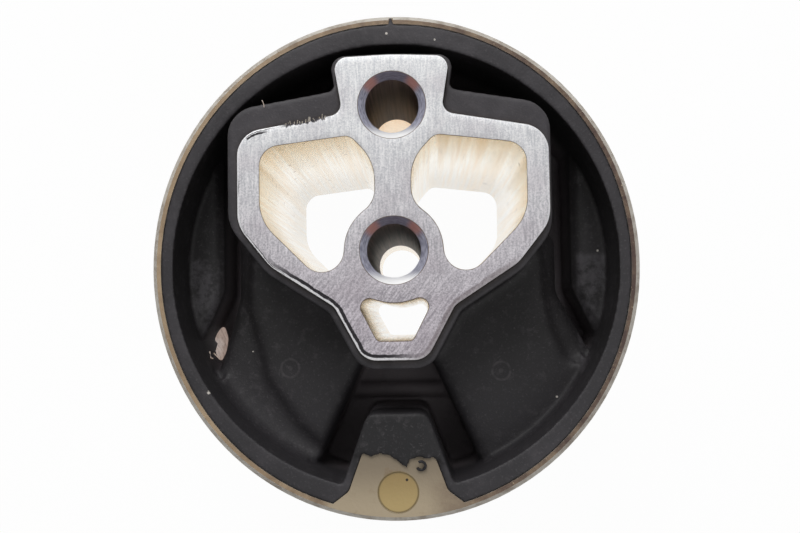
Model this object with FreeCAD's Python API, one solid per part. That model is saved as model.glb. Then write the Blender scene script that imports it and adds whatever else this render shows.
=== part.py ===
import FreeCAD, Part
import math
import os

from FreeCAD import Vector

# Round transmission mount, in millimetres. +Z is the mount's axis and points at the
# front face. The core stands on its back end at Z = 0, and the ring's centre is X = Y = 0.

# Lengths along the axis
core_length = 72.0
core_proud = 6.0
coat_setback = 1.5
leg_setback = 11.0
ridge_height = 1.6
web_thickness = 3.0

# Outer ring: oval outside, round inside, moulded in nylon
ring_half_width = 48.2
ring_half_height = 50.0
ring_wall = 3.1
ring_edge_chamfer = 0.9
rim_land = 1.7
rebate_depth = 4.0
mark_x = -0.1
mark_width = 0.9
mark_depth = 0.5

# Core's outline, measured down from the top of its bolt lug, which clears the rim
rebound_gap = 3.7
lug_drop = 0.5
lug_half_width = 11.3
lug_root_half_width = 9.5
lug_root_below = 11.4
core_half_width = 29.95
shoulder_below = 14.9
flank_below = 32.8
knee_x = 23.7
knee_below = 40.7
waist_x = 11.5
waist_below = 48.6
toe_half_width = 5.9
toe_below = 58.9
crown_radius = 60.0

# Bolt holes through the core
bolt_radius = 5.2
bolt_spacing = 28.1
upper_bolt_below = 9.85
bolt_chamfer = 1.35

# Hollows of the core
side_wall = 4.3
shoulder_wall = 4.1
boss_wall = 4.35
web_half_width = 3.55
hollow_floor = 10.0
hollow_rise = 2.1
toe_wall = 3.62
toe_boss_wall = 4.9
toe_lean = 17.0
toe_lobe_x = 8.15

# Rubber on the ring and on the core
lining = 1.0
coat_left = 2.3
coat_right = 0.7
coat_flank = 1.6
coat_toe = 1.8
coat_lug = 0.8
bumper = 5.2

# Stop tower, part of the ring, rising from the bottom of its bore to meet the core's toe
toe_travel = 8.7
tower_coat = 2.0
tower_side_coat = 1.65
tower_top_half_width = 4.8
tower_side_slope = 0.37
tower_corner = 1.2
tower_foot = 4.8
tower_groove = 0.7
tower_groove_width = 4.5
film_thickness = 0.6
film_length = 6.4
disc_mark_radius = 4.0
disc_mark_inset = 5.65
disc_mark_depth = 0.25

# Legs and side pads
side_travel = 5.35
side_gap = 3.3
edge_round = 2.4
pad_round = 1.6
pad_knee_y = -4.5
pad_foot_x = 41.4
pad_foot_y = -14.4
leg_knee_y = -5.5
leg_root_y = 7.5
strip_width = 3.5
pocket_inset = 3.8
pocket_y = -18.0
gap_half_width = 7.1
foot_inner_x = 16.7
foot_inner_rise = 3.7
leg_fillet = 4.0
roll_radius = 1.8
roll_gap = 4.6
pip_radius = 2.1
pip_depth = 0.35

# Tear at the root of the left leg
tear_x = -40.8
tear_y = -15.5
tear_length = 8.6
tear_width = 3.0
tear_lean = 0.22
tear_pocket_y = -21.5

# Heights that follow from the lengths
ring_back = core_proud
ring_front = core_length - core_proud
middle = core_length / 2
web_front = middle + web_thickness / 2
leg_front = ring_front - leg_setback
step_front = leg_front - ridge_height

# Places across the mount that follow from the sizes
ring_bore_radius = min(ring_half_width, ring_half_height) - ring_wall
rim_radius = ring_bore_radius - lining
lug_top_y = rim_radius - rebound_gap
upper_bolt_y = lug_top_y - upper_bolt_below
lower_bolt_y = upper_bolt_y - bolt_spacing
shoulder_y = lug_top_y - shoulder_below
flank_top_y = lug_top_y - flank_below
waist_y = lug_top_y - waist_below
toe_y = lug_top_y - toe_below
tower_top_y = toe_y - coat_toe - toe_travel - tower_coat
pad_face_x = core_half_width + (coat_left + coat_right) / 2 + side_travel
leg_edge_x = pad_face_x - side_gap
pocket_x = rim_radius - pocket_inset
far = 2 * ring_half_height


def meet(p, q, r, s):
    """Point where the line through p and q crosses the line through r and s."""
    dx, dy = q[0] - p[0], q[1] - p[1]
    ex, ey = s[0] - r[0], s[1] - r[1]
    t = ((r[0] - p[0]) * ey - (r[1] - p[1]) * ex) / (dx * ey - dy * ex)
    return (p[0] + t * dx, p[1] + t * dy)


def mirrored(half):
    """A half outline on the +X side, with its mirror image in X added in reverse."""
    other = [(-x, y, r) for x, y, r in reversed(half) if abs(x) > 1e-6]
    return half + other


def grown(corners, gaps, radii):
    """The outline with side i, from corner i to the next, moved out by gaps[i]."""
    count = len(corners)
    sides = []
    for i in range(count):
        (x0, y0, _), (x1, y1, _) = corners[i], corners[(i + 1) % count]
        length = math.hypot(x1 - x0, y1 - y0)
        nx, ny = -(y1 - y0) / length, (x1 - x0) / length
        shift_x, shift_y = nx * gaps[i], ny * gaps[i]
        sides.append(((x0 + shift_x, y0 + shift_y), (x1 + shift_x, y1 + shift_y)))
    return [meet(*sides[i - 1], *sides[i]) + (radii[i],) for i in range(count)]


def outline(corners):
    """Closed wire of straight runs, with an arc of the given radius at each corner."""
    runs = []
    count = len(corners)
    for i in range(count):
        before, here, after = corners[i - 1], corners[i], corners[(i + 1) % count]
        p = Vector(here[0], here[1], 0)
        a = (Vector(before[0], before[1], 0) - p).normalize()
        b = (Vector(after[0], after[1], 0) - p).normalize()
        if here[2] <= 0:
            runs.append((p, p, p))
            continue
        half_angle = a.getAngle(b) / 2
        reach = here[2] / math.tan(half_angle)
        bisector = (a + b).normalize()
        nearest = p + bisector * (here[2] / math.sin(half_angle) - here[2])
        runs.append((p + a * reach, nearest, p + b * reach))
    edges = []
    for i in range(count):
        start, mid, end = runs[i]
        if (end - start).Length > 1e-6:
            edges.append(Part.Arc(start, mid, end).toShape())
        following = runs[(i + 1) % count][0]
        if (following - end).Length > 1e-6:
            edges.append(Part.LineSegment(end, following).toShape())
    return Part.Wire(edges)


def prism(wire, low, high):
    """Solid of the wire's area between two heights."""
    face = Part.Face(wire)
    face.translate(Vector(0, 0, low))
    return face.extrude(Vector(0, 0, high - low))


def block(corners, low, high):
    return prism(outline(corners), low, high)


def cylinder(radius, low, high, x=0.0, y=0.0):
    return Part.makeCylinder(radius, high - low, Vector(x, y, low))


def oval(inset, low, high):
    """Oval prism, inset from the ring's outside."""
    wide = ring_half_width - inset
    tall = ring_half_height - inset
    wire = Part.Wire(Part.Ellipse(Vector(0, 0, 0), max(wide, tall), min(wide, tall)).toShape())
    if tall > wide:
        wire.rotate(Vector(0, 0, 0), Vector(0, 0, 1), 90)
    return prism(wire, low, high)


def widened(corners, gaps, radii, low, edge, radius):
    """Prism whose sides turn outwards below the edge's height, to round what it cuts."""
    body = block(corners, low, core_length)
    levels = [(0.0, edge - radius), (0.293 * radius, edge - 0.293 * radius), (radius, edge)]
    wires = []
    for share, level in levels:
        wire = outline(grown(corners, [share * g for g in gaps], [r + share * d for r, d in radii]))
        wire.translate(Vector(0, 0, level))
        wires.append(wire)
    body = body.fuse([Part.makeLoft(wires[i:i + 2], True, True) for i in range(2)])
    top = wires[2].copy()
    top.translate(Vector(0, 0, -edge))
    return body.fuse(prism(top, edge, core_length))


def both_ends(shape):
    """The shape, and its mirror image in the plane at half height."""
    return shape.fuse(shape.mirror(Vector(0, 0, middle), Vector(0, 0, 1)))


def core_corners():
    half = [
        (0, lug_top_y, crown_radius),
        (lug_half_width, lug_top_y - lug_drop, 2.4),
        (lug_root_half_width, lug_top_y - lug_root_below, 2.3),
        (core_half_width, shoulder_y, 5.2),
        (core_half_width, flank_top_y, 7.0),
        (knee_x, lug_top_y - knee_below, 8.0),
        (waist_x, waist_y, 3.0),
        (toe_half_width, toe_y, 4.0),
    ]
    return mirrored(half)


def tower_corners(top_coat, side_coat):
    """The tower's section, a trapezoid that spreads where it runs into the ring's wall."""
    top = tower_top_y + top_coat
    half_top = tower_top_half_width - top_coat * tower_side_slope
    half_top += side_coat * math.hypot(1, tower_side_slope)
    heel = -rim_radius
    half_heel = half_top + (top - heel) * tower_side_slope
    half = [
        (half_top, top, tower_corner + 0.6 * top_coat),
        (half_heel, heel, 2.0),
        (half_heel + tower_foot, heel - 0.75 * tower_foot, 0),
        (half_heel + tower_foot, -far, 0),
    ]
    return mirrored(half)


def make_mark():
    """The thin alignment line at the top of the front rim: a slot in the nylon, full of rubber."""
    corner = Vector(mark_x - mark_width / 2, rim_radius, ring_front - mark_depth)
    return Part.makeBox(mark_width, ring_half_height - 0.3 - rim_radius, mark_depth, corner)


def make_ring():
    body = oval(0, ring_back, ring_front)
    rims = [e for e in body.Edges if abs(e.BoundBox.ZLength) < 1e-6]
    body = body.makeChamfer(ring_edge_chamfer, rims)
    body = body.cut(cylinder(ring_bore_radius, 0, core_length))
    body = body.cut(both_ends(oval(rim_land, ring_front - rebate_depth, core_length)))
    foot = block(tower_corners(0, 0), ring_back, ring_front)
    foot = foot.common(oval(rim_land / 2, ring_back, ring_front))
    body = body.fuse(foot)
    disc_y = disc_mark_inset - ring_half_height
    disc = cylinder(disc_mark_radius, ring_front - disc_mark_depth, core_length, 0, disc_y)
    return body.cut([make_mark(), disc]).removeSplitter()


def side_hollow():
    """One of the core's two big hollows, on the +X side, beside the lower bolt's boss."""
    boss = bolt_radius + boss_wall
    outer_x = core_half_width - side_wall
    top_y = shoulder_y - shoulder_wall + 1.2
    inner_top_y = top_y + hollow_rise
    cheek_y = flank_top_y + 1.0
    first, last = math.radians(5), math.radians(58)
    spread = boss / math.cos((last - first) / 2)
    turn = (first + last) / 2
    boss_x, boss_y = spread * math.cos(turn), lower_bolt_y + spread * math.sin(turn)
    floor_from = (boss_x + math.tan(first) * hollow_floor, boss_y - hollow_floor)
    lobe = meet((boss_x, boss_y), floor_from, (outer_x, cheek_y), (outer_x - 1, cheek_y - 1))
    web_low = meet((boss_x, boss_y), (boss_x - math.sin(last), boss_y + math.cos(last)),
                   (web_half_width, 0), (web_half_width, 1))
    return [
        (outer_x, top_y, 4.0),
        (outer_x, cheek_y, 9.0),
        lobe + (4.2,),
        (boss_x, boss_y, boss),
        web_low + (5.0,),
        (web_half_width, inner_top_y - 5.0, 9.0),
        (web_half_width + 4.66, inner_top_y, 2.5),
    ]


def toe_hollow():
    """The small hollow between the lower bolt's boss and the toe."""
    boss = bolt_radius + toe_boss_wall
    lean = math.radians(toe_lean)
    peak = lower_bolt_y - boss / math.cos(lean)
    half = [
        (0, peak, boss),
        (toe_lobe_x, peak + toe_lobe_x * math.tan(lean), 1.7),
        (toe_half_width - 2.55, toe_y + toe_wall, 1.2),
    ]
    return mirrored(half)


def make_core():
    body = block(core_corners(), 0, core_length)
    hollow = side_hollow()
    for corners in (hollow, [(-x, y, r) for x, y, r in hollow], toe_hollow()):
        body = body.cut(block(corners, 0, core_length))
    for y in (lower_bolt_y, upper_bolt_y):
        body = body.cut(cylinder(bolt_radius, 0, core_length, 0, y))
        mouth = Part.makeCone(bolt_radius, bolt_radius + bolt_chamfer, bolt_chamfer,
                              Vector(0, y, core_length - bolt_chamfer))
        body = body.cut(both_ends(mouth))
    return body


def make_coat():
    """Rubber round the core, thick as a bumper over its shoulders and thin on its right side."""
    right = [coat_lug, coat_lug, bumper, coat_right, coat_flank, coat_flank, coat_flank]
    left = [coat_flank, coat_flank, coat_flank, coat_left, bumper, coat_lug, coat_lug]
    half_radii = [2.6, 1.2, 6.0, 8.5, 9.5, 2.0, 5.0]
    radii = [crown_radius] + half_radii + list(reversed(half_radii))
    corners = grown(core_corners(), right + [coat_toe] + left, radii)
    return block(corners, coat_setback, core_length - coat_setback)


def make_pad(low):
    """The side pad on the right, from the ring's lining towards the core, its edge rounded."""
    corners = [
        (pad_face_x, far, 0),
        (far, far, 0),
        (far, pad_foot_y - 1.5, 0),
        (pad_foot_x, pad_foot_y, 1.5),
        (pad_face_x, pad_knee_y, 4.0),
    ]
    body = block(corners, low, step_front - pad_round)
    top = outline(grown(corners, [0, 0, 0, -pad_round, -pad_round], [0, 0, 0, 2.0, 4.0]))
    foot = outline(corners)
    foot.translate(Vector(0, 0, step_front - pad_round))
    top.translate(Vector(0, 0, step_front))
    return body.fuse(Part.makeLoft([foot, top], True, True))


def make_voids(low):
    """The open spaces between the legs: one over the core, one either side of the tower."""
    right = [
        (far, far, 0),
        (far, 0, 0),
        (rim_radius + 0.4, pad_foot_y - 1.2, 0),
        (pocket_x, pocket_y, 1.5),
        (leg_edge_x, leg_knee_y, 5.0),
        (leg_edge_x, leg_root_y, 3.0),
    ]
    left = [
        (-leg_edge_x, leg_root_y, 3.0),
        (-leg_edge_x, leg_knee_y, 5.0),
        (tear_x + 5.2, tear_y + 2.0, 4.0),
        (tear_x + 2.6, tear_pocket_y, 1.8),
        (-rim_radius - 0.4, tear_pocket_y + 1.5, 0),
        (-far, 0, 0),
        (-far, far, 0),
    ]
    corners = right + left
    turns = [0, 0, 0, 1, 1, -1, -1, 1, 1, 1, 0, 0, 0]
    rounding = [(corner[2], turn) for corner, turn in zip(corners, turns)]
    upper = widened(corners, [1] * len(corners), rounding, low, step_front, edge_round)
    pad = make_pad(low)
    upper = upper.cut([pad, pad.mirror(Vector(0, 0, 0), Vector(1, 0, 0))])
    foot_y = foot_inner_rise - rim_radius
    half = [
        (gap_half_width, toe_y - 1.0, 0),
        (foot_inner_x, foot_y, 1.6),
        (foot_inner_x - 2.0, -far, 0),
    ]
    corners = mirrored(half)
    rounding = [(corner[2], 1 if corner[2] else 0) for corner in corners]
    lower = widened(corners, [1] * len(corners), rounding, low, leg_front, edge_round)
    return upper.fuse(lower).common(cylinder(rim_radius, low, core_length))


def make_plateau():
    """The raised middle of both legs' front faces; the left one has sagged towards its tear."""
    crease_x = leg_edge_x - strip_width
    right = [
        (crease_x, leg_root_y + 1.5),
        (crease_x + 0.2, leg_knee_y),
        (pocket_x - 8.7, pocket_y + 5.6),
        (pocket_x - 5.6, pocket_y - 1.8),
        (pocket_x - 3.1, pocket_y - 2.8),
        (pocket_x + 1.5, pocket_y - 1.5),
        (far, pocket_y),
        (far, -far),
    ]
    sagged = [(-0.317, -2.0), (-0.317, -0.862), (-0.449, -0.741),
              (-0.535, -0.624), (-0.612, -0.51), (-0.649, -0.34)]
    left = [(rim_radius * u, rim_radius * v) for u, v in sagged]
    left += [(-crease_x - 0.6, leg_knee_y - 3.0), (-crease_x, leg_root_y + 1.5)]
    corners = [(x, y, 0) for x, y in right + left]
    low = outline(grown(corners, [ridge_height / 2] * len(corners), [0] * len(corners)))
    low.translate(Vector(0, 0, step_front))
    high = outline(corners)
    high.translate(Vector(0, 0, leg_front))
    return Part.makeLoft([low, high], True, True)


def make_legs():
    """The two legs and the side pads, with the webs that close the voids at mid depth."""
    plug = cylinder(ring_bore_radius, middle, leg_front)
    top_layer = cylinder(ring_bore_radius, step_front, leg_front).cut(make_plateau())
    plug = plug.cut(top_layer)
    arc_mid = leg_fillet * (1 - math.sqrt(0.5))
    start = Vector(rim_radius - leg_fillet, 0, step_front)
    corner = Vector(ring_bore_radius, 0, step_front)
    lip = Vector(ring_bore_radius, 0, step_front + leg_fillet)
    top = Vector(rim_radius, 0, step_front + leg_fillet)
    hollow = Part.Arc(top, Vector(rim_radius - arc_mid, 0, step_front + arc_mid), start).toShape()
    lines = [Part.LineSegment(a, b).toShape() for a, b in ((start, corner), (corner, lip), (lip, top))]
    section = Part.Face(Part.Wire(lines + [hollow]))
    fillet = section.revolve(Vector(0, 0, 0), Vector(0, 0, 1), 360)
    body = plug.fuse(fillet)
    body = body.cut(make_voids(web_front))
    return body.fuse(make_roll())


def make_tear():
    """Ragged hole at the root of the left leg; it leans outwards and bares the ring behind the web."""
    shape = [(0.3, 0.5), (0.62, 0.09), (0.46, -0.24), (0.0, -0.5),
             (-0.46, -0.27), (-0.22, 0.0), (-0.54, 0.05), (-0.23, 0.29)]
    rise = 2 * web_thickness
    sink = 8 * web_thickness
    corners = [(tear_x + tear_width * u, tear_y + tear_length * v, 0) for u, v in shape]
    low = outline([(x - sink * tear_lean, y, 0) for x, y, _ in corners])
    high = outline([(x + rise * tear_lean, y, 0) for x, y, _ in corners])
    low.translate(Vector(0, 0, web_front - sink))
    high.translate(Vector(0, 0, web_front + rise))
    return Part.makeLoft([low, high], True, True)


def make_pips():
    """Round moulding marks, sunk in the front faces of the two legs."""
    places = [(-0.51 * rim_radius, -0.466 * rim_radius), (0.485 * rim_radius, -0.492 * rim_radius)]
    return [cylinder(pip_radius, leg_front - pip_depth, core_length, x, y) for x, y in places]


def make_roll():
    """Rolled fold in the web between the toe and the tower."""
    start = Vector(-foot_inner_x, tower_top_y + roll_gap, web_front)
    rod = Part.makeCylinder(roll_radius, 2 * foot_inner_x, start, Vector(1, 0, 0))
    return rod.common(cylinder(ring_bore_radius, middle, leg_front))


def make_film():
    """Thin rubber left on the tower's front end, torn along its lower edge."""
    ragged = [(-9.5, -0.2), (-6.9, 0.6), (-5.2, -0.1), (-3.5, 0.5), (-1.5, 0.0), (1.9, -2.5),
              (2.3, -0.6), (4.3, -0.3), (5.9, -0.7), (6.9, -0.3), (9.5, -1.6)]
    end_y = tower_top_y - film_length
    corners = [(x, end_y + y, 0) for x, y in ragged] + [(9.5, 0, 0), (-9.5, 0, 0)]
    film = block(tower_corners(tower_coat, tower_side_coat), ring_front, ring_front + film_thickness)
    return film.common(block(corners, ring_front, core_length))


def make_tower_rubber():
    """The rubber over the stop tower, with a soft groove round it half way to the web."""
    body = block(tower_corners(tower_coat, tower_side_coat), middle, ring_front)
    low = (web_front + ring_front - tower_groove_width) / 2
    waist = block(tower_corners(tower_coat - tower_groove, tower_side_coat - tower_groove), low,
                  low + tower_groove_width)
    band = cylinder(rim_radius - leg_fillet, low, low + tower_groove_width)
    body = body.cut(band.cut(waist))
    return body.common(cylinder(ring_bore_radius, 0, core_length))


def make_rubber(ring):
    """All the rubber, one moulding bonded to the ring and to the core."""
    lining_tube = cylinder(ring_bore_radius, middle, ring_front)
    band = oval(rim_land, ring_front - rebate_depth, ring_front)
    shell = lining_tube.fuse(band).cut(cylinder(rim_radius, 0, core_length))
    tower = make_tower_rubber().fuse(make_film())
    body = make_coat().fuse([both_ends(shell.fuse(tower)), both_ends(make_legs())])
    body = body.fuse(make_mark())
    inside = [block(core_corners(), 0, core_length), block(tower_corners(0, 0), 0, ring_front), ring]
    body = body.cut(inside + make_pips() + [make_tear()])
    return body.removeSplitter()


def main():
    os.makedirs("parts", exist_ok=True)
    ring = make_ring()
    pieces = {"outer_ring": ring, "inner_core": make_core(), "rubber_body": make_rubber(ring)}
    for name, shape in pieces.items():
        shape.exportStep(os.path.join("parts", name + ".step"))
        box = shape.BoundBox
        print(name, len(shape.Solids), "solid,", round(shape.Volume / 1000, 2), "cm3,",
              [round(v, 2) for v in (box.XMin, box.YMin, box.ZMin, box.XMax, box.YMax, box.ZMax)])


main()
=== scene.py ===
# %% [markdown]
# A round transmission mount, dressed for its photograph
#
# The mount has three pieces: an oval nylon ring, a black rubber moulding bonded inside
# it, and an aluminium extrusion that the rubber carries. The solids come from the packed
# model, in metres, and stand on the floor at height zero with the axis upright.

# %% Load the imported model
import math
import random

import bpy
from mathutils import Matrix, Vector


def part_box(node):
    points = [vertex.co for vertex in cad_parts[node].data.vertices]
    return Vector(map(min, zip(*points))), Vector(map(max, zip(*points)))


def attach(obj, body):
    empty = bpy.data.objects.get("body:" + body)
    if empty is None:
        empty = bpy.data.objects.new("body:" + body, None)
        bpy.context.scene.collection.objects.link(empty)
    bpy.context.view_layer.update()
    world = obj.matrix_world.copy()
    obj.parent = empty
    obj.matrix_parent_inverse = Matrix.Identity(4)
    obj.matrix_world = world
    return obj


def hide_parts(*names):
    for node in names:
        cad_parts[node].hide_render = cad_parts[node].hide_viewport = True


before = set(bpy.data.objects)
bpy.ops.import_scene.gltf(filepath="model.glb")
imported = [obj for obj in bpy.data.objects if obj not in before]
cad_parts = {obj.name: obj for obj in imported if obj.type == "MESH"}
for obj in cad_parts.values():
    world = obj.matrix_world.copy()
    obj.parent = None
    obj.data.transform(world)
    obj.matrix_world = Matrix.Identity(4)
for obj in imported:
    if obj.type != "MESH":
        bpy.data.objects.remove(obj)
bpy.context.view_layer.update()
MM = 0.001
core_low, core_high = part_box("inner_core")
core_face = core_high[2]
rim_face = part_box("outer_ring")[1][2]
leg_face = rim_face - 11 * MM
print("core face at", round(core_face / MM, 2), "mm, rim face at", round(rim_face / MM, 2), "mm")

# %% [markdown]
# The camera looks down the mount's axis from close above, a little to the right of it
# and below its middle. That is why the far end of each hollow shows smaller and shifted.
# In the picture the mount is turned by not quite one degree, so the camera is turned back.
# The axis vanishes at one point of the picture, and that point and the lens give the
# camera's direction, so both are written here as the photograph shows them.

# %% The camera
picture_width, picture_height = 800, 533
focal_pixels = 925.0
axis_vanishes_at = (423.0, 319.0)
camera_height = 0.176
camera_foot = (5.52 * MM, -10.68 * MM)
mount_turn = math.radians(0.9)
sensor_width = 36.0


def aim_camera():
    """A camera above the core's face, turned so that the mount's axis vanishes at its pixel."""
    away_x = (axis_vanishes_at[0] - picture_width / 2) / focal_pixels
    away_y = -(axis_vanishes_at[1] - picture_height / 2) / focal_pixels
    axis = Vector((away_x, away_y, 1)).normalized()
    right = Vector((math.sqrt(1 - axis.x ** 2), 0, -axis.x))
    up_x = -axis.x * axis.y / right.x
    up = Vector((up_x, math.sqrt(1 - up_x ** 2 - axis.y ** 2), -axis.y))
    back = right.cross(up)
    turn = Matrix((right, up, back)).transposed().to_4x4()
    data = bpy.data.cameras.new("camera")
    data.sensor_width = sensor_width
    data.lens = focal_pixels / picture_width * sensor_width
    data.clip_start = 0.01
    camera = bpy.data.objects.new("camera", data)
    bpy.context.scene.collection.objects.link(camera)
    place = Vector((camera_foot[0], camera_foot[1], core_face + camera_height))
    seen_turned = Matrix.Rotation(-mount_turn, 4, "Z")
    camera.matrix_world = seen_turned @ Matrix.Translation(place) @ turn
    bpy.context.scene.camera = camera


aim_camera()

# %% [markdown]
# Materials are node trees. Small helpers keep them short: `add` makes a node and sets
# its values, and the others give the sums, products, slopes, bands, mixes and noise that
# every material here is built from. Each returns a socket for the next to use.

# %% Helpers for node trees
def add(tree, kind, settings=None, **inputs):
    """Adds a node. Settings are its properties; inputs are values or sockets, by name or as i0, i1."""
    node = tree.nodes.new("ShaderNode" + kind)
    for name, value in (settings or {}).items():
        setattr(node, name, value)
    for name, value in inputs.items():
        by_number = name[0] == "i" and name[1:].isdigit()
        socket = node.inputs[int(name[1:]) if by_number else name.replace("_", " ")]
        if isinstance(value, bpy.types.NodeSocket):
            tree.links.new(value, socket)
        else:
            socket.default_value = value
    return node


def calc(tree, operation, first, second=0.0, clamp=False):
    node = add(tree, "Math", {"operation": operation, "use_clamp": clamp}, i0=first, i1=second)
    return node.outputs[0]


def times(tree, *values):
    product = values[0]
    for value in values[1:]:
        product = calc(tree, "MULTIPLY", product, value)
    return product


def opposite(tree, value):
    """1 where the value is 0, and 0 where it is 1."""
    return calc(tree, "SUBTRACT", 1.0, value)


def about_zero(tree, value):
    """Noise runs from 0 to 1; this moves it to between -0.5 and 0.5."""
    return calc(tree, "SUBTRACT", value, 0.5)


def ramp(tree, value, low, high):
    """0 at low, 1 at high, and a soft slope between; low may be above high."""
    settings = {"interpolation_type": "SMOOTHSTEP"}
    node = add(tree, "MapRange", settings, Value=value, From_Min=low, From_Max=high)
    return node.outputs["Result"]


def band(tree, value, low, high, soft):
    """1 between low and high, fading to 0 over the soft width on either side."""
    return times(tree, ramp(tree, value, low - soft, low), ramp(tree, value, high + soft, high))


def mix(tree, factor, first, second):
    """A colour between two colours."""
    node = tree.nodes.new("ShaderNodeMix")
    node.data_type = "RGBA"
    for index, value in ((0, factor), (6, first), (7, second)):
        if isinstance(value, bpy.types.NodeSocket):
            tree.links.new(value, node.inputs[index])
        else:
            node.inputs[index].default_value = value
    return node.outputs[2]


def mix_values(tree, factor, first, second):
    """A number between two numbers."""
    return add(tree, "Mix", None, i0=factor, i2=first, i3=second).outputs[0]


def noise(tree, where, scale, stretch=(1, 1, 1), turn=0.0, detail=3.0, roughness=0.5):
    """Noise with features of about 1 / scale metres, longer where stretch is above 1."""
    settings = {"vector_type": "TEXTURE"}
    spread = add(tree, "Mapping", settings, Vector=where, Scale=stretch, Rotation=(0, 0, turn))
    node = add(tree, "TexNoise", Vector=spread.outputs[0], Scale=scale, Detail=detail, Roughness=roughness)
    return node.outputs[0]


def distance_to(tree, where, x, y):
    """Distance from an upright line through x and y."""
    flat = add(tree, "Mapping", Vector=where, Scale=(1, 1, 0)).outputs[0]
    return add(tree, "VectorMath", {"operation": "DISTANCE"}, i0=flat, i1=(x, y, 0)).outputs["Value"]


def place_of(tree):
    """The place on the object, whole and as its three parts: across, up the face, and height."""
    where = add(tree, "TexCoord").outputs["Object"]
    parts = add(tree, "SeparateXYZ", Vector=where)
    return where, parts.outputs["X"], parts.outputs["Y"], parts.outputs["Z"]


def upwardness(tree):
    """1 on what faces straight up, -1 on what faces down."""
    normal = add(tree, "NewGeometry").outputs["Normal"]
    return add(tree, "SeparateXYZ", Vector=normal).outputs["Z"]


def new_material(name):
    material = bpy.data.materials.new(name)
    material.use_nodes = True
    material.node_tree.nodes.clear()
    return material, material.node_tree


def finish_surface(tree, shader):
    output = tree.nodes.new("ShaderNodeOutputMaterial")
    tree.links.new(shader.outputs[0], output.inputs["Surface"])


def colour(red, green, blue):
    """A colour given as it looks on a screen, from 0 to 255, made linear for the shader."""
    linear = []
    for part in (red, green, blue):
        part = part / 255
        linear.append(part / 12.92 if part <= 0.04045 else ((part + 0.055) / 1.055) ** 2.4)
    return (*linear, 1.0)


# %% [markdown]
# Aluminium looks different on its end faces and its walls. The ends were sawn, so fine
# scratches cross them, upright above and slanted below, and the faces are painted lighter
# towards the top as painted light. They carry a burr along their rim and a thin dark line
# round each mouth. Two attributes on the dressed core, edge and mouth, tell how far a
# point is from the rim and from the nearest mouth. The walls came out of the extrusion
# die with straight draw lines along the axis, and mirror the pale floor. The bolt holes
# were drilled. Their walls are painted dark as painted shade, all but their last stretch,
# which is painted bright cream as painted light, and their bevels carry painted shade
# above and a painted highlight below.

# %% The aluminium core
lower_hole = (0.0, 2.45 * MM)
upper_hole = (0.0, 30.55 * MM)
bolt_mouth_radius = 6.55 * MM
hole_zone = 7 * MM
lit_bore_height = 17 * MM
lit_bore_height_upper = 34.5 * MM
bevel_depth = 1.3 * MM
heat_tint_across = 4.1 * MM
heat_tint_up = 4.3 * MM
border_width = 1.3 * MM
smear_place = (-26.0 * MM, 23.5 * MM)
smear_radius = 2.2 * MM
torn_burr_from = -20 * MM
torn_burr_to = -13.5 * MM
shoulder_height = 24 * MM
saw_slant = math.radians(-38)


def sawn_face(tree, where, up):
    """Colour and relief of the sawn end faces, painted lighter towards the top as painted light."""
    grain = noise(tree, where, 2900, detail=6, roughness=0.8)
    upright = noise(tree, where, 2400, (1.0, 9.0, 1.0), detail=4, roughness=0.7)
    slanted = noise(tree, where, 2000, (1.0, 7.0, 1.0), turn=saw_slant, detail=4, roughness=0.7)
    cloud = noise(tree, where, 110, detail=4)
    low_down = ramp(tree, up, 4 * MM, -6 * MM)
    scratches = mix(tree, low_down, upright, slanted)
    # Painted light: the face is painted lighter towards the top, where the lamp is.
    painted_light_to_top = ramp(tree, up, -16 * MM, 34 * MM)
    dark = mix(tree, painted_light_to_top, colour(154, 147, 155), colour(212, 214, 218))
    light = mix(tree, painted_light_to_top, colour(226, 219, 226), colour(255, 255, 255))
    worked = calc(tree, "ADD", times(tree, grain, 0.6), times(tree, scratches, 0.4))
    base = mix(tree, ramp(tree, worked, 0.4, 0.6), dark, light)
    base = mix(tree, times(tree, ramp(tree, cloud, 0.42, 0.7), 0.3), base, colour(182, 170, 179))
    return base, worked, grain


def dark_groove(tree, where, ragged, left, toe, grain):
    """The groove inside the burr: thin on the left, wide at the toe, smeared on the left shoulder."""
    patchy = ramp(tree, noise(tree, where, 90, detail=3), 0.42, 0.52)
    thin = times(tree, band(tree, ragged, 0.2, 0.25, 0.05), left, patchy)
    wide = times(tree, band(tree, ragged, 0.36, 0.8, 0.06), toe, ramp(tree, grain, 0.28, 0.42))
    to_smear = distance_to(tree, where, *smear_place)
    near_smear = ramp(tree, to_smear, smear_radius + 1.2 * MM, smear_radius)
    smear = times(tree, near_smear, ramp(tree, patchy, 0.2, 0.6))
    smear = times(tree, smear, band(tree, ragged, 0.4, 0.62, 0.08))
    wide = calc(tree, "MAXIMUM", wide, smear)
    return calc(tree, "MAXIMUM", thin, wide)


def bright_burr(tree, ragged, left, toe, grain):
    """The burr itself, strongest on the left and at the toe."""
    strength = calc(tree, "ADD", times(tree, calc(tree, "MAXIMUM", left, toe), 0.5), 0.35)
    outside = calc(tree, "SUBTRACT", ragged, times(tree, toe, 0.1))
    return times(tree, ramp(tree, outside, 0.34, 0.2), ramp(tree, grain, 0.3, 0.5), strength)


def rough_border(tree, edge, wobble, across, up):
    """The brownish, rougher border at the toe's right side."""
    place = times(tree, ramp(tree, up, 2 * MM, -2 * MM), ramp(tree, across, 1 * MM, 8 * MM))
    inside = ramp(tree, calc(tree, "ADD", edge, times(tree, wobble, 1.4)), 0.9, 0.6)
    return times(tree, place, inside, 0.5)


def torn_burr(tree, where, edge, across, up):
    """The stretch of the left shoulder where the burr is torn and the rubber bites in."""
    spikes = noise(tree, where, 1500, (1.0, 4.0, 1.0), detail=4, roughness=0.8)
    stretch = band(tree, across, torn_burr_from, torn_burr_to, 2 * MM)
    shoulder = times(tree, stretch, ramp(tree, up, shoulder_height - 2 * MM, shoulder_height))
    torn = calc(tree, "ADD", edge, times(tree, about_zero(tree, spikes), 1.8))
    return times(tree, ramp(tree, torn, 0.36, 0.3), shoulder)


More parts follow.
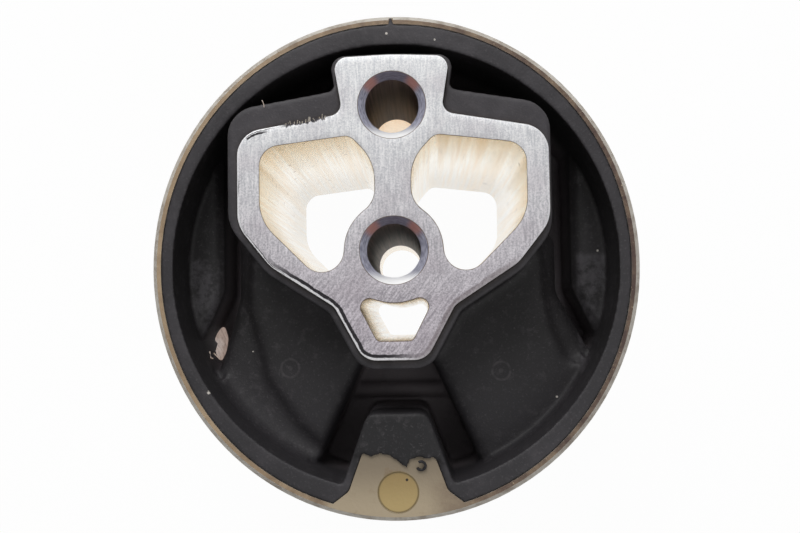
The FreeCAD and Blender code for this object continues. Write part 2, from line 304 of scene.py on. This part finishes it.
def burr_and_mouths(tree, where, across, up, base, grain):
    """The burr along the rim with its dark inner groove, and the dark line round each mouth."""
    edge = add(tree, "Attribute", {"attribute_name": "edge"}).outputs["Fac"]
    mouth = add(tree, "Attribute", {"attribute_name": "mouth"}).outputs["Fac"]
    wander = noise(tree, where, 420, detail=4, roughness=0.7)
    wobble = times(tree, about_zero(tree, wander), 0.55)
    ragged = calc(tree, "ADD", edge, wobble)
    left = ramp(tree, across, -20 * MM, -24 * MM)
    toe = times(tree, ramp(tree, up, 3 * MM, -3 * MM), ramp(tree, across, 7 * MM, -2 * MM))
    base = mix(tree, bright_burr(tree, ragged, left, toe, grain), base, colour(250, 250, 252))
    base = mix(tree, dark_groove(tree, where, ragged, left, toe, grain), base, colour(46, 43, 47))
    base = mix(tree, rough_border(tree, edge, wobble, across, up), base, colour(112, 98, 98))
    base = mix(tree, torn_burr(tree, where, edge, across, up), base, colour(56, 53, 57))
    mouth_line = ramp(tree, calc(tree, "ADD", mouth, times(tree, wobble, 0.25)), 0.12, 0.06)
    return mix(tree, mouth_line, base, colour(108, 92, 78))


def near_hole(tree, where, x, y):
    """1 inside a bolt hole and its bevel, 0 beyond them."""
    return ramp(tree, distance_to(tree, where, x, y), hole_zone + 0.5 * MM, hole_zone)


def hole_bevel(tree, where, up):
    """The bevelled mouths: turned, with painted shade above and a painted highlight below, and a heat tint
    on either side.
    """
    turned = noise(tree, where, 900, (1.0, 1.0, 0.12), detail=3)
    bevel = mix(tree, ramp(tree, turned, 0.35, 0.65), colour(140, 140, 158), colour(190, 190, 206))
    for x, y in (lower_hole, upper_hole):
        near = near_hole(tree, where, x, y)
        # Painted shade on each bevel's upper side, and a painted highlight on its lower side.
        top = times(tree, near, ramp(tree, up, y + 1.5 * MM, y + 6 * MM))
        painted_highlight_foot = times(tree, near, ramp(tree, up, y - 3.5 * MM, y - 6 * MM))
        bevel = mix(tree, times(tree, top, 0.75), bevel, colour(92, 82, 98))
        bevel = mix(tree, painted_highlight_foot, bevel, colour(255, 255, 255))
        for side in (-1, 1):
            away = distance_to(tree, where, x + side * heat_tint_across, y + heat_tint_up)
            tint = times(tree, ramp(tree, away, 2.2 * MM, 0.5 * MM), 0.7)
            bevel = mix(tree, tint, bevel, colour(196, 130, 112))
    return bevel


def bolt_bores(tree, where, up, height, draw):
    """The bolt holes' colour: painted shade on the drilled walls and painted light on their last stretch,
    and where that bright stretch is.
    """
    # Painted shade and painted light: the drilled walls are painted dark where they lie in shade, and
    # bright cream on their last stretch, which the light from the far end reaches.
    dark = mix(tree, ramp(tree, draw, 0.3, 0.7), colour(56, 45, 41), colour(112, 94, 86))
    clean = ramp(tree, height, lit_bore_height + 0.3 * MM, lit_bore_height)
    lit_upper = ramp(tree, height, lit_bore_height_upper + 0.3 * MM, lit_bore_height_upper)
    lit_upper = times(tree, near_hole(tree, where, *upper_hole), lit_upper)
    bore = mix(tree, clean, dark, colour(255, 240, 216))
    bore = mix(tree, lit_upper, bore, colour(255, 226, 186))
    in_bevel = ramp(tree, height, core_face - bevel_depth - 0.2 * MM, core_face - bevel_depth)
    return mix(tree, in_bevel, bore, hole_bevel(tree, where, up)), calc(tree, "MAXIMUM", clean, lit_upper)


def extruded_wall(tree, where, draw):
    """The hollows' walls: nearly white, with fine and broad draw lines and a few brown spots."""
    broad = noise(tree, where, 240, (1.0, 1.0, 30.0), detail=3)
    spots = noise(tree, where, 420, detail=2)
    wall = mix(tree, ramp(tree, draw, 0.38, 0.66), colour(255, 251, 242), colour(251, 240, 222))
    wall = mix(tree, times(tree, ramp(tree, broad, 0.48, 0.7), 0.5), wall, colour(247, 226, 194))
    return mix(tree, times(tree, ramp(tree, spots, 0.68, 0.76), 0.6), wall, colour(160, 126, 96))


def make_aluminium():
    material, tree = new_material("core_aluminium")
    where, across, up, height = place_of(tree)
    end_face = ramp(tree, calc(tree, "ABSOLUTE", upwardness(tree)), 0.85, 0.95)
    face, worked, grain = sawn_face(tree, where, up)
    face = burr_and_mouths(tree, where, across, up, face, grain)
    draw = noise(tree, where, 1500, (1.0, 1.0, 60.0), detail=5, roughness=0.65)
    to_lower = distance_to(tree, where, *lower_hole)
    to_upper = distance_to(tree, where, *upper_hole)
    in_hole = calc(tree, "LESS_THAN", calc(tree, "MINIMUM", to_lower, to_upper), bolt_mouth_radius)
    # clean here marks the bores' last stretch, painted bright as painted light.
    bore, clean = bolt_bores(tree, where, up, height, draw)
    wall = mix(tree, in_hole, extruded_wall(tree, where, draw), bore)
    base = mix(tree, end_face, wall, face)
    in_shaded_bore = times(tree, in_hole, opposite(tree, end_face), opposite(tree, clean))
    wall_rough = calc(tree, "ADD", times(tree, draw, 0.2), 0.12)
    face_rough = calc(tree, "ADD", times(tree, worked, 0.3), 0.4)
    rough = mix_values(tree, end_face, wall_rough, face_rough)
    rough = mix_values(tree, in_shaded_bore, rough, 0.55)
    dull = calc(tree, "ADD", times(tree, end_face, 0.6), times(tree, in_shaded_bore, 0.75))
    bump = add(tree, "Bump", Strength=0.35, Distance=0.0002, Height=worked)
    shader = add(tree, "BsdfPrincipled", Base_Color=base, Metallic=opposite(tree, dull), Roughness=rough,
                 Normal=bump.outputs[0])
    finish_surface(tree, shader)
    return material


# %% [markdown]
# Moulded rubber is nearly black but never plain: bloom greys it in clouds, the surface
# has a fine grain, and what faces up near the front is greyer. Low in the voids the
# colour is painted lighter, a painted fill light where the rubber lies in shade. The
# tower's end is darker, under its thin film. The two side pads have a rougher, paler
# patch, and each leg a round moulding mark. A few bright specks of dirt lie about.

# %% The rubber
film_half_width = 8 * MM
film_low, film_high = -42 * MM, -28 * MM
pad_patch_from, pad_patch_to = 38.2 * MM, 43.2 * MM
pad_patch_low, pad_patch_high = 52 * MM, 56 * MM
mark_inner_radius, mark_outer_radius = 1.75 * MM, 2.0 * MM
moulding_marks = [(-22.5 * MM, -20.6 * MM), (21.4 * MM, -21.7 * MM)]
bright_specks = [
    (-37.0 * MM, -24.5 * MM, 0.45 * MM), (32.7 * MM, -27.2 * MM, 0.3 * MM),
    (-1.0 * MM, 46.4 * MM, 0.3 * MM), (8.6 * MM, 44.9 * MM, 0.25 * MM),
    (42.2 * MM, 3.0 * MM, 0.3 * MM), (-30.5 * MM, -17.0 * MM, 0.2 * MM),
]


def rubber_tone(tree, across, up, height, facing, cloud):
    """The rubber's colour by height: painted lighter low in the voids as painted fill light, dark on the
    legs, greyer on top.
    """
    painted_fill_deep = ramp(tree, height, leg_face - 2 * MM, leg_face - 12 * MM)
    near = ramp(tree, height, leg_face + 2 * MM, rim_face + 4.5 * MM)
    upper = ramp(tree, up, -40 * MM, 44 * MM)
    lower = ramp(tree, up, -8 * MM, -32 * MM)
    middle = mix(tree, lower, colour(30, 28, 29), colour(46, 44, 47))
    middle = mix(tree, times(tree, ramp(tree, cloud, 0.4, 0.7), 0.5), middle, colour(48, 45, 48))
    # Painted fill light: low in the voids the rubber is painted lighter, where it lies in shade.
    base = mix(tree, painted_fill_deep, middle, colour(112, 105, 108))
    top = mix(tree, upper, colour(51, 49, 52), colour(56, 53, 57))
    top = mix(tree, ramp(tree, cloud, 0.4, 0.75), top, colour(72, 69, 73))
    beside = ramp(tree, calc(tree, "ABSOLUTE", across), film_half_width + 2 * MM, film_half_width)
    film = times(tree, beside, band(tree, up, film_low, film_high, 1 * MM))
    top = mix(tree, times(tree, film, 0.95), top, colour(20, 19, 21))
    return mix(tree, times(tree, facing, near), base, top)


def pad_patch(tree, across, up, height):
    """The rough patch on each side pad, cut off along a slope."""
    side = calc(tree, "ABSOLUTE", across)
    slope = calc(tree, "ADD", side, times(tree, up, -0.3))
    return times(tree, band(tree, side, pad_patch_from, pad_patch_to, 0.8 * MM),
                 ramp(tree, up, 3.0 * MM, 1.8 * MM), ramp(tree, slope, 46.5 * MM, 43.5 * MM),
                 band(tree, height, pad_patch_low, pad_patch_high, 1 * MM))


def mark_the_legs(tree, where, height, base, blotch):
    """A faint ring and dot on each leg."""
    on_leg = band(tree, height, leg_face - 1 * MM, leg_face + 1 * MM, 0.3 * MM)
    for x, y in moulding_marks:
        away = distance_to(tree, where, x, y)
        ring = band(tree, away, mark_inner_radius, mark_outer_radius, 0.2 * MM)
        dot = ramp(tree, away, 0.6 * MM, 0.4 * MM)
        mark = times(tree, calc(tree, "MAXIMUM", ring, dot), on_leg, ramp(tree, blotch, 0.3, 0.6), 0.35)
        base = mix(tree, mark, base, colour(92, 88, 90))
    return base


def make_rubber():
    material, tree = new_material("mount_rubber")
    where, across, up, height = place_of(tree)
    cloud = noise(tree, where, 100, detail=6, roughness=0.65)
    blotch = noise(tree, where, 420, detail=4, roughness=0.7)
    grain = noise(tree, where, 2200, detail=3)
    facing = ramp(tree, upwardness(tree), 0.3, 0.95)
    base = rubber_tone(tree, across, up, height, facing, cloud)
    base = mix(tree, times(tree, ramp(tree, blotch, 0.52, 0.72), 0.3), base, colour(84, 80, 83))
    base = mix(tree, times(tree, ramp(tree, grain, 0.56, 0.8), 0.35), base, colour(104, 100, 103))
    patch = times(tree, pad_patch(tree, across, up, height), ramp(tree, blotch, 0.35, 0.6), 0.55)
    base = mix(tree, patch, base, colour(86, 83, 87))
    base = mark_the_legs(tree, where, height, base, blotch)
    for x, y, size in bright_specks:
        speck = ramp(tree, distance_to(tree, where, x, y), size, size * 0.6)
        speck = times(tree, speck, facing, ramp(tree, grain, 0.3, 0.5))
        base = mix(tree, speck, base, colour(206, 200, 192))
    relief = calc(tree, "ADD", times(tree, blotch, 0.6), times(tree, grain, 0.4))
    bump = add(tree, "Bump", Strength=0.4, Distance=0.0003, Height=relief)
    shader = add(tree, "BsdfPrincipled", Base_Color=base, Roughness=0.6, Normal=bump.outputs[0])
    finish_surface(tree, shader)
    return material


# %% [markdown]
# Natural nylon with glass fibre is cream and takes up grime: brown on the right of the
# rim and tan on its left. The tower's end stays pale, with a yellower round mark. The
# inside of the wall carries a painted glow, an emission that stands in for light coming
# through the thin wall, and it shows where the rubber is torn off.

# %% The nylon
ring_half_width = 48 * MM
inside_radius = 45.4 * MM
tower_half_width = 12.5 * MM
tower_from = -34 * MM
tower_mark = (0.0, -44.35 * MM)
tower_mark_radius = 4.0 * MM
disc_dirt = (1.7 * MM, -42.0 * MM)
painted_glow_strength = 0.5


def soiled_rim(tree, across, cloud, patches, speck):
    """The rim's front: more soiled towards the right, with light specks of glass fibre."""
    soiled = calc(tree, "ADD", 0.42, times(tree, across, 0.5 / ring_half_width))
    soiled = calc(tree, "ADD", soiled, times(tree, about_zero(tree, patches), 1.6), clamp=True)
    pale = mix(tree, ramp(tree, cloud, 0.35, 0.7), colour(180, 157, 128), colour(152, 129, 103))
    rim = mix(tree, soiled, pale, colour(84, 66, 60))
    return mix(tree, times(tree, ramp(tree, speck, 0.66, 0.74), 0.6), rim, colour(196, 176, 146))


def tower_end(tree, where, across, up, cloud, patches):
    """The tower's bare end with its stains, and the yellower disc with a dark line round it."""
    clean = mix(tree, ramp(tree, up, -38 * MM, -48 * MM), colour(140, 127, 108), colour(184, 168, 142))
    stain = times(tree, ramp(tree, patches, 0.56, 0.74), ramp(tree, cloud, 0.4, 0.6), 0.6)
    clean = mix(tree, stain, clean, colour(132, 108, 76))
    shade = times(tree, ramp(tree, across, 4 * MM, 11 * MM), ramp(tree, cloud, 0.3, 0.6), 0.7)
    clean = mix(tree, shade, clean, colour(118, 98, 82))
    to_mark = distance_to(tree, where, *tower_mark)
    line = ramp(tree, to_mark, tower_mark_radius + 0.15 * MM, tower_mark_radius)
    clean = mix(tree, line, clean, colour(140, 122, 84))
    yellow = mix(tree, ramp(tree, up, -40 * MM, -48 * MM), colour(162, 138, 92), colour(190, 166, 114))
    disc = ramp(tree, to_mark, tower_mark_radius - 0.15 * MM, tower_mark_radius - 0.4 * MM)
    return mix(tree, disc, clean, yellow)


def make_nylon():
    material, tree = new_material("ring_nylon")
    where, across, up, _ = place_of(tree)
    cloud = noise(tree, where, 90, detail=6, roughness=0.65)
    patches = noise(tree, where, 330, detail=5, roughness=0.7)
    speck = noise(tree, where, 1500, detail=2)
    beside = ramp(tree, calc(tree, "ABSOLUTE", across), tower_half_width + 3 * MM, tower_half_width)
    tower = times(tree, beside, ramp(tree, up, tower_from, tower_from - 2 * MM))
    flat = ramp(tree, upwardness(tree), 0.8, 0.95)
    rim = soiled_rim(tree, across, cloud, patches, speck)
    base = mix(tree, tower, rim, tower_end(tree, where, across, up, cloud, patches))
    dirt = ramp(tree, distance_to(tree, where, *disc_dirt), 0.34 * MM, 0.2 * MM)
    base = mix(tree, dirt, base, colour(52, 44, 36))
    outer = mix(tree, ramp(tree, patches, 0.4, 0.7), colour(196, 190, 180), colour(150, 138, 124))
    base = mix(tree, flat, outer, base)
    in_bore = ramp(tree, distance_to(tree, where, 0, 0), inside_radius + 0.2 * MM, inside_radius)
    # A painted glow: emission on the inner wall stands in for light coming through the thin wall.
    painted_glow = times(tree, in_bore, opposite(tree, flat), opposite(tree, tower), painted_glow_strength)
    painted_glow_colour = mix(tree, ramp(tree, patches, 0.4, 0.65), colour(206, 184, 172), colour(168, 148, 138))
    bump = add(tree, "Bump", Strength=0.3, Distance=0.0002, Height=calc(tree, "ADD", speck, patches))
    shader = add(tree, "BsdfPrincipled", Base_Color=base, Roughness=0.42, Normal=bump.outputs[0],
                 Emission_Color=painted_glow_colour, Emission_Strength=painted_glow)
    finish_surface(tree, shader)
    return material


materials = {"inner_core": make_aluminium(), "rubber_body": make_rubber(), "outer_ring": make_nylon()}
for node_name, material in materials.items():
    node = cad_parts[node_name]
    node.data.materials.clear()
    node.data.materials.append(material)

# %% [markdown]
# A finished piece starts as a merged copy of its solid, and takes the solid's place.

# %% Helpers for finished pieces
merge_distance = 0.005 * MM
least_edge = 0.002 * MM


def select_only(piece):
    if bpy.context.object and bpy.context.object.mode != "OBJECT":
        bpy.ops.object.mode_set(mode="OBJECT")
    bpy.ops.object.select_all(action="DESELECT")
    piece.select_set(True)
    bpy.context.view_layer.objects.active = piece


def apply_modifier(piece, kind, **settings):
    select_only(piece)
    modifier = piece.modifiers.new(kind.lower(), kind)
    for name, value in settings.items():
        setattr(modifier, name, value)
    bpy.ops.object.modifier_apply(modifier=modifier.name)


def select_faces(piece, wanted):
    """Goes to edit mode with just the wanted faces selected."""
    bpy.ops.object.mode_set(mode="EDIT")
    bpy.context.tool_settings.mesh_select_mode = (False, False, True)
    bpy.ops.mesh.select_all(action="DESELECT")
    bpy.ops.object.mode_set(mode="OBJECT")
    for face in piece.data.polygons:
        face.select = wanted(face)
    bpy.ops.object.mode_set(mode="EDIT")


def triangles(piece):
    return sum(len(face.vertices) - 2 for face in piece.data.polygons)


def copy_of(node_name, name, merge=merge_distance):
    """A merged copy of a node's mesh, under its own name."""
    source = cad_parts[node_name]
    piece = bpy.data.objects.new(name, source.data.copy())
    bpy.context.scene.collection.objects.link(piece)
    select_only(piece)
    bpy.ops.object.mode_set(mode="EDIT")
    bpy.ops.mesh.select_all(action="SELECT")
    bpy.ops.mesh.remove_doubles(threshold=merge)
    bpy.ops.mesh.dissolve_degenerate(threshold=least_edge)
    bpy.ops.object.mode_set(mode="OBJECT")
    return piece


# %% [markdown]
# Rubber leaves its mould with soft edges everywhere. The copy of the moulding is wrapped
# in an even skin of small faces and smoothed, which rounds every edge by about half a
# millimetre. The steps in the legs' faces are worn softer still.

# %% The rubber's soft skin
skin_cell = 0.42 * MM
skin_smoothing = 5
skin_triangles = 190000
leg_reach = 3.2 * MM
leg_radius = 42.0 * MM
leg_smoothing = 60


def soften_legs(skin):
    """Smooths what lies near the legs' front and back faces more than the rest."""
    group = skin.vertex_groups.new(name="legs")
    chosen = []
    for vertex in skin.data.vertices:
        place = vertex.co
        from_face = min(abs(place.z - leg_face), abs(core_face - place.z - leg_face))
        if from_face < leg_reach and math.hypot(place.x, place.y) < leg_radius:
            chosen.append(vertex.index)
    group.add(chosen, 1.0, "REPLACE")
    apply_modifier(skin, "SMOOTH", factor=0.5, iterations=leg_smoothing, vertex_group="legs")


def make_skin():
    skin = copy_of("rubber_body", "rubber_skin")
    apply_modifier(skin, "REMESH", mode="VOXEL", voxel_size=skin_cell)
    apply_modifier(skin, "SMOOTH", factor=0.5, iterations=skin_smoothing)
    soften_legs(skin)
    print("skin before thinning:", triangles(skin), "triangles")
    apply_modifier(skin, "DECIMATE", ratio=min(1.0, skin_triangles / triangles(skin)))
    select_only(skin)
    bpy.ops.object.shade_smooth()
    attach(skin, "root")
    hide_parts("rubber_body")
    print("rubber skin:", triangles(skin), "triangles")


make_skin()

# %% [markdown]
# The core's two end faces get a narrow border, inset from every edge. Along the border
# the attributes run from 0 at the edge to 1 inside, one for the outer rim and one for
# the mouths of the holes. Where a corner is too tight for the border, its faces would
# cross, so there they are dissolved. Then every sharp edge is broken a little.

# %% The dressed core
core_bevel = 0.16 * MM
core_merge = 0.15 * MM
thinnest_face = 0.0001 * MM * MM


def in_end_face(face):
    level = min(abs(face.center.z - core_high[2]), abs(face.center.z - core_low[2]))
    return abs(face.normal.z) > 0.99 and level < 0.01 * MM


def turned_over(face):
    outward = 1 if face.center.z > core_face / 2 else -1
    return in_end_face(face) and face.normal.z * outward < 0


def border_loops(mesh):
    """Vertices on the end faces' edges, in two sets: on the rim, and on the mouths."""
    flat = set()
    walls = set()
    for face in mesh.polygons:
        if in_end_face(face):
            flat.update(face.edge_keys)
        elif face.area > thinnest_face:
            walls.update(face.edge_keys)
    joined = {}
    for first, second in flat & walls:
        joined.setdefault(first, []).append(second)
        joined.setdefault(second, []).append(first)
    rim = set()
    mouths = set()
    while joined:
        loop = set()
        waiting = [next(iter(joined))]
        while waiting:
            vertex = waiting.pop()
            if vertex in joined:
                loop.add(vertex)
                waiting.extend(joined.pop(vertex))
        xs = [mesh.vertices[i].co.x for i in loop]
        wide = max(xs) - min(xs) > 0.9 * (core_high[0] - core_low[0])
        (rim if wide else mouths).update(loop)
    return rim, mouths


def untangle_border(core):
    """Dissolves the end faces that touch a turned-over one into one face."""
    crossed = set()
    for face in core.data.polygons:
        if turned_over(face):
            crossed.update(face.vertices)
    select_faces(core, lambda face: in_end_face(face) and bool(crossed & set(face.vertices)))
    bpy.ops.mesh.dissolve_faces()
    bpy.ops.object.mode_set(mode="OBJECT")
    left = sum(turned_over(face) for face in core.data.polygons)
    print("border points untangled:", len(crossed), "and faces still turned over:", left)


def make_core():
    core = copy_of("inner_core", "dressed_core", core_merge)
    select_faces(core, in_end_face)
    bpy.ops.mesh.inset(thickness=border_width, use_boundary=True, use_even_offset=False)
    bpy.ops.object.mode_set(mode="OBJECT")
    untangle_border(core)
    mesh = core.data
    rim, mouths = border_loops(mesh)
    for name, loop in (("edge", rim), ("mouth", mouths)):
        field = mesh.attributes.new(name, "FLOAT", "POINT")
        for index in range(len(mesh.vertices)):
            field.data[index].value = 0.0 if index in loop else 1.0
    sharp = math.radians(40)
    apply_modifier(core, "BEVEL", width=core_bevel, segments=2, limit_method="ANGLE", angle_limit=sharp)
    bpy.ops.object.shade_smooth_by_angle(angle=math.radians(30))
    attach(core, "root")
    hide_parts("inner_core")
    print("dressed core:", triangles(core), "triangles")


make_core()

# %% [markdown]
# Small leavings: a curl of rubber on the tower's end, pale threads where the leg tore,
# slivers of burr on the left shoulder, and a hair on the bumper.

# %% Curls, threads and burrs
rng = random.Random(7)
curl_centre = Vector((4.5 * MM, -39.2 * MM, rim_face + 0.5 * MM))
curl_radius = 0.85 * MM
curl_lift = 0.25 * MM
curl_start = -150
curl_step = 17
curl_points = 17
thread_roots = [(-41.2, -16.4), (-40.6, -17.0), (-41.0, -17.8), (-40.2, -18.4), (-39.7, -17.4)]
thread_height = leg_face - 5.5 * MM
burr_start_x, burr_run = -20.5, 7.5
burr_start_y, burr_slope = 26.6, 0.17
burr_slivers = 15
hair_root = Vector((-24.9 * MM, 30.9 * MM, core_face - 1.6 * MM))


def strand(name, points, thickness):
    """A thin round strand through the points, closed at both ends."""
    bpy.ops.object.select_all(action="DESELECT")
    bpy.ops.curve.primitive_nurbs_path_add(location=(0, 0, 0))
    piece = bpy.context.active_object
    piece.name = name
    path = piece.data
    path.splines.clear()
    line = path.splines.new("POLY")
    line.points.add(len(points) - 1)
    for point, place in zip(line.points, points):
        point.co = (*place, 1)
    path.dimensions = "3D"
    path.bevel_depth = thickness / 2
    path.bevel_resolution = 2
    path.use_fill_caps = True
    bpy.ops.object.convert(target="MESH")
    return bpy.context.active_object


def finish_small(pieces, name, node_name):
    """Joins the strands into one piece with a node's material."""
    bpy.ops.object.select_all(action="DESELECT")
    for piece in pieces:
        piece.select_set(True)
    bpy.context.view_layer.objects.active = pieces[0]
    if len(pieces) > 1:
        bpy.ops.object.join()
    piece = bpy.context.active_object
    piece.name = name
    piece.data.materials.clear()
    piece.data.materials.append(materials[node_name])
    bpy.ops.object.shade_smooth()
    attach(piece, "root")
    print(name + ":", triangles(piece), "triangles")


def make_curl():
    points = []
    for step in range(curl_points):
        angle = math.radians(curl_start + step * curl_step)
        round_it = Vector((curl_radius * math.cos(angle), curl_radius * math.sin(angle), 0))
        points.append(curl_centre + round_it + Vector((0, 0, curl_lift * math.sin(angle))))
    curl = strand("curl", points, 0.55 * MM)
    finish_small([curl], "rubber_curl", "rubber_body")


def make_threads():
    threads = []
    for x, y in thread_roots:
        root = Vector((x * MM, y * MM, thread_height))
        sway = Vector((rng.uniform(-0.3, 0.9), rng.uniform(-0.9, 0.5), 0.2)) * MM
        rise = Vector((rng.uniform(0.2, 0.6), rng.uniform(-0.6, 0.4), rng.uniform(0.8, 1.6))) * MM
        threads.append(strand("thread", [root, root + sway, root + sway + rise], 0.22 * MM))
    finish_small(threads, "torn_threads", "outer_ring")


def make_burr():
    slivers = []
    for step in range(burr_slivers):
        along = burr_run * step / (burr_slivers - 1) + rng.uniform(-0.15, 0.15)
        foot_y = burr_start_y + along * burr_slope
        root = Vector(((burr_start_x + along) * MM, foot_y * MM, core_face - 0.15 * MM))
        reach = rng.uniform(0.5, 1.3)
        tip = root + Vector((rng.uniform(-0.5, 0.3), reach, rng.uniform(0.1, 0.4))) * MM
        thickness = rng.uniform(0.12, 0.3) * MM
        slivers.append(strand("sliver", [root, (root + tip) / 2, tip], thickness))
    finish_small(slivers, "shoulder_burr", "inner_core")


def make_hair():
    bend = hair_root + Vector((0.05, 0.5, 0.9)) * MM
    tip = hair_root + Vector((-0.1, 1.0, 1.7)) * MM
    hair = strand("hair", [hair_root, bend, tip], 0.13 * MM)
    finish_small([hair], "stray_hair", "outer_ring")


make_curl()
# The threads and the hair take the nylon's material, and with it its painted glow inside the ring.
make_threads()
make_burr()
make_hair()

# %% [markdown]
# The floor is pale and so is everything round the mount. The camera, and whatever
# mirrors the surroundings, sees the floor as nearly white; the object still gets the
# plain diffuse floor, with its shadow.

# %% Floor, world and lamps
floor_size = 4
floor_height = -0.0002
floor_whiteness = 0.97
world_strength = 0.3


def make_floor():
    material, tree = new_material("pale_floor")
    path = add(tree, "LightPath")
    seen = calc(tree, "MAXIMUM", path.outputs["Is Camera Ray"], path.outputs["Is Glossy Ray"])
    plain = add(tree, "BsdfDiffuse", Color=colour(240, 240, 240))
    white = add(tree, "Emission", Color=(1, 1, 1, 1), Strength=1.0)
    share = times(tree, seen, floor_whiteness)
    both = add(tree, "MixShader", i0=share, i1=plain.outputs[0], i2=white.outputs[0])
    finish_surface(tree, both)
    bpy.ops.mesh.primitive_plane_add(size=floor_size, location=(0, 0, floor_height))
    floor = bpy.context.active_object
    floor.name = "floor"
    floor.data.materials.append(material)


def make_world():
    world = bpy.data.worlds.new("studio")
    world.use_nodes = True
    background = world.node_tree.nodes["Background"]
    background.inputs["Color"].default_value = (1, 1, 1, 1)
    background.inputs["Strength"].default_value = world_strength
    bpy.context.scene.world = world


def add_lamp(name, place, size, power):
    data = bpy.data.lights.new(name, "AREA")
    data.size = size
    data.energy = power
    lamp = bpy.data.objects.new(name, data)
    bpy.context.scene.collection.objects.link(lamp)
    lamp.location = place
    lamp.rotation_euler = (-Vector(place)).to_track_quat("-Z", "Y").to_euler()


make_floor()
make_world()
add_lamp("window", place=(-0.1, 0.5, 0.45), size=0.4, power=2.6)
add_lamp("fill", place=(0.3, -0.3, 0.6), size=0.5, power=0.8)
bpy.context.scene.view_settings.view_transform = "Standard"
